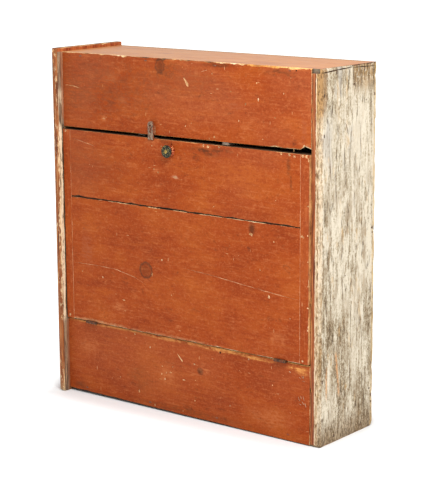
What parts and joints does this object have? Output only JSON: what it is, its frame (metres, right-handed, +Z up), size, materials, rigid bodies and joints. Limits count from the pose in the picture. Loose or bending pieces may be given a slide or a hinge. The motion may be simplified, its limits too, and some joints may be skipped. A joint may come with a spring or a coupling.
{
  "type": "fall-front chest",
  "caption": "Shallow upright pine chest: nailed boards in worn red and cream paint, a fall-front door on butt hinges, a slotted hasp over a staple, and a knob that turns a latch bar.",
  "frame": {"origin": "centre of the bounding box on the floor that the two end boards stand on", "axes": "+Z up, -Y out of the door's front, +X to the right of someone facing the front"},
  "size_m": [0.6998, 0.2168, 0.7725],
  "materials": {
    "red_paint": "old red-orange paint, worn to wood along the edges",
    "cream_paint": "peeling cream paint over grey wood",
    "bare_pine": "bare aged pine",
    "dark_knob": "dark worn paint",
    "brass": "dull",
    "iron": "rusted wrought iron",
    "nail_iron": "rusted cut nails and screws"
  },
  "bodies": {
    "case": {"left_end_board": "red_paint", "right_end_board": "cream_paint", "top_board": "red_paint", "bottom_board": "bare_pine", "back_plank_1": "bare_pine", "back_plank_2": "bare_pine", "back_plank_3": "bare_pine", "back_plank_4": "bare_pine", "front_top_board": "red_paint", "front_bottom_board": "red_paint", "door_stop": "bare_pine", "door_stop_nails": "nail_iron", "left_end_nails": "nail_iron", "right_end_nails": "nail_iron", "front_nails": "nail_iron", "back_nails": "nail_iron", "hasp_staple": "iron", "hinge_left_case_leaf": "iron", "hinge_right_case_leaf": "iron", "hinge_left_pin": "iron", "hinge_right_pin": "iron", "hinge_case_screws": "nail_iron"},
    "door": {"door_upper_board": "red_paint", "door_lower_board": "red_paint", "door_left_cleat": "red_paint", "door_right_cleat": "red_paint", "hinge_left_door_leaf": "iron", "hinge_right_door_leaf": "iron", "hinge_door_screws": "nail_iron", "hasp_strap": "iron", "hasp_nails": "nail_iron"},
    "latch": {"knob": "dark_knob", "latch_bolt": "brass", "latch_washer": "iron", "latch_bar": "bare_pine", "latch_nut": "iron"}
  },
  "joints": [
    {"name": "door_fall", "type": "hinge", "parent": "case", "child": "door", "pos_m": [-0.2575, -0.09405, 0.16975], "axis": [1, 0, 0], "range_deg": [0, 110]},
    {"name": "knob_turn", "type": "hinge", "parent": "door", "child": "latch", "pos_m": [-0.0265, -0.08705, 0.574], "axis": [0, 1, 0], "range_deg": [-99, 81]}
  ]
}
